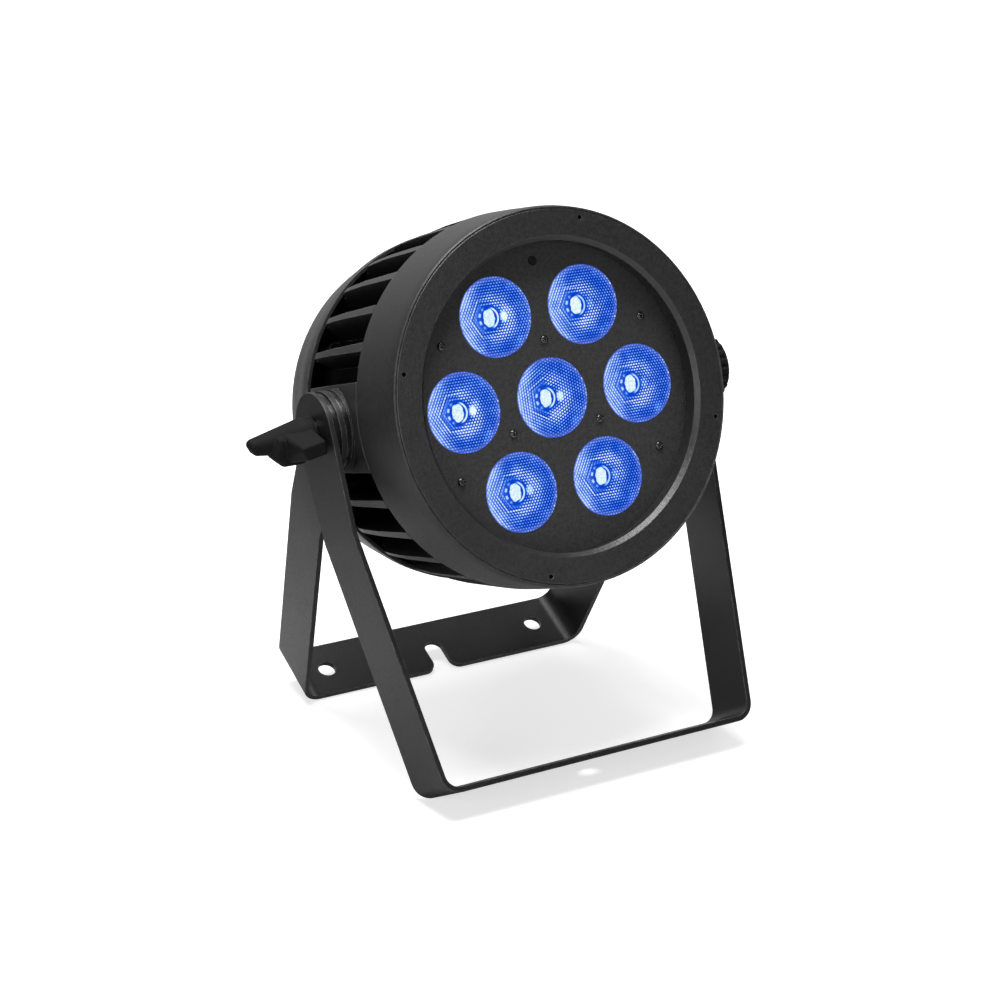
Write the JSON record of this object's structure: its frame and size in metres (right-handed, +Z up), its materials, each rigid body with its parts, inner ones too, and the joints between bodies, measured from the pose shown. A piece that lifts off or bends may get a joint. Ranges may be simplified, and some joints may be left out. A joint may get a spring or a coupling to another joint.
{
  "type": "LED par light",
  "caption": "Round stage par light with blue-lit lenses, a finned housing and a double tilting yoke that is also a floor stand.",
  "frame": {"origin": "on the floor, midway between the yoke legs and straight below the tilt axis; the tilt axis is 186.0 mm above it", "axes": "+Z up, +X along the tilt axis (to the right when facing along +Y), the lamp faces -Y and points 17.25 degrees above the horizontal at rest"},
  "size_m": [0.2924, 0.2217, 0.3023],
  "materials": {
    "powder_coat": "aluminium with a satin black powder coat, fine grain",
    "yoke_coat": "satin black powder coat, edges lightly chipped",
    "rubber": "matt black rubber",
    "black_screw": "blackened steel",
    "zinc_steel": "zinc plated",
    "lens_blue": "clear acrylic with a fine dimpled front, lit blue from behind",
    "sensor_lens": "dark glossy filter",
    "black_plastic": "black moulded nylon",
    "power_blue": "blue moulded nylon",
    "power_grey": "light grey moulded nylon",
    "emitter": "silicone dome over the chips",
    "white_board": "white solder mask on aluminium",
    "green_board": "green circuit board",
    "pad": "soft heat-conducting sheet",
    "psu_case": "plain sheet aluminium",
    "cable": "black insulated wire"
  },
  "bodies": {
    "rear_yoke_body": {"rear_yoke": "yoke_coat", "yoke_washers": "black_plastic"},
    "head_body": {"front_bezel": "powder_coat", "bezel_gasket": "rubber", "bezel_screws": "black_screw", "face_plate": "powder_coat", "face_gasket": "rubber", "face_plate_screws": "black_screw", "sensor_window": "sensor_lens", "lens_1": "lens_blue", "lens_2": "lens_blue", "lens_3": "lens_blue", "lens_4": "lens_blue", "lens_5": "lens_blue", "lens_6": "lens_blue", "lens_7": "lens_blue", "lens_holders": "black_plastic", "led_emitters": "emitter", "led_board": "white_board", "led_board_screws": "zinc_steel", "thermal_pad": "pad", "housing": "powder_coat", "rear_gasket": "rubber", "rear_cover": "powder_coat", "rear_cover_screws": "black_screw", "control_panel": "powder_coat", "control_panel_screws": "black_screw", "display_window": "sensor_lens", "display_module": "black_plastic", "control_board": "green_board", "control_board_spacers": "zinc_steel", "power_inlet": "power_blue", "power_outlet": "power_grey", "dmx_input": "black_plastic", "dmx_output": "black_plastic", "fuse_holder": "black_plastic", "safety_eye": "zinc_steel", "safety_eye_screws": "zinc_steel", "power_supply": "psu_case", "power_supply_screws": "zinc_steel", "wiring_harness": "cable", "friction_discs": "rubber"},
    "front_yoke_body": {"front_yoke": "yoke_coat", "knob_washers": "black_screw"},
    "knob_left_body": {"knob_left": "black_plastic", "knob_stud_left": "zinc_steel"},
    "knob_right_body": {"knob_right": "black_plastic", "knob_stud_right": "zinc_steel"},
    "button_menu_body": {"button_menu": "black_plastic"},
    "button_down_body": {"button_down": "black_plastic"},
    "button_up_body": {"button_up": "black_plastic"},
    "button_enter_body": {"button_enter": "black_plastic"},
    "dmx_latch_body": {"dmx_output_latch": "zinc_steel"}
  },
  "joints": [
    {"name": "head_tilt", "type": "hinge", "parent": "rear_yoke_body", "child": "head_body", "pos_m": [0, 0, 0.18602], "axis": [1, 0, 0], "continuous": true},
    {"name": "front_yoke_swing", "type": "hinge", "parent": "rear_yoke_body", "child": "front_yoke_body", "pos_m": [0, 0, 0.18602], "axis": [1, 0, 0], "continuous": true},
    {"name": "knob_left_turn", "type": "hinge", "parent": "head_body", "child": "knob_left_body", "pos_m": [0, 0, 0.18602], "axis": [-1, 0, 0], "range_deg": [0, 360]},
    {"name": "knob_right_turn", "type": "hinge", "parent": "head_body", "child": "knob_right_body", "pos_m": [0, 0, 0.18602], "axis": [1, 0, 0], "range_deg": [0, 360]},
    {"name": "button_menu_press", "type": "slide", "parent": "head_body", "child": "button_menu_body", "axis": [0, -0.955, 0.2965], "range_m": [0, 0.0006], "stiffness_N_per_m": 200},
    {"name": "button_down_press", "type": "slide", "parent": "head_body", "child": "button_down_body", "axis": [0, -0.955, 0.2965], "range_m": [0, 0.0006], "stiffness_N_per_m": 200},
    {"name": "button_up_press", "type": "slide", "parent": "head_body", "child": "button_up_body", "axis": [0, -0.955, 0.2965], "range_m": [0, 0.0006], "stiffness_N_per_m": 200},
    {"name": "button_enter_press", "type": "slide", "parent": "head_body", "child": "button_enter_body", "axis": [0, -0.955, 0.2965], "range_m": [0, 0.0006], "stiffness_N_per_m": 200},
    {"name": "dmx_output_latch_press", "type": "slide", "parent": "head_body", "child": "dmx_latch_body", "axis": [0, -0.2965, -0.955], "range_m": [0, 0.0006], "stiffness_N_per_m": 200}
  ]
}
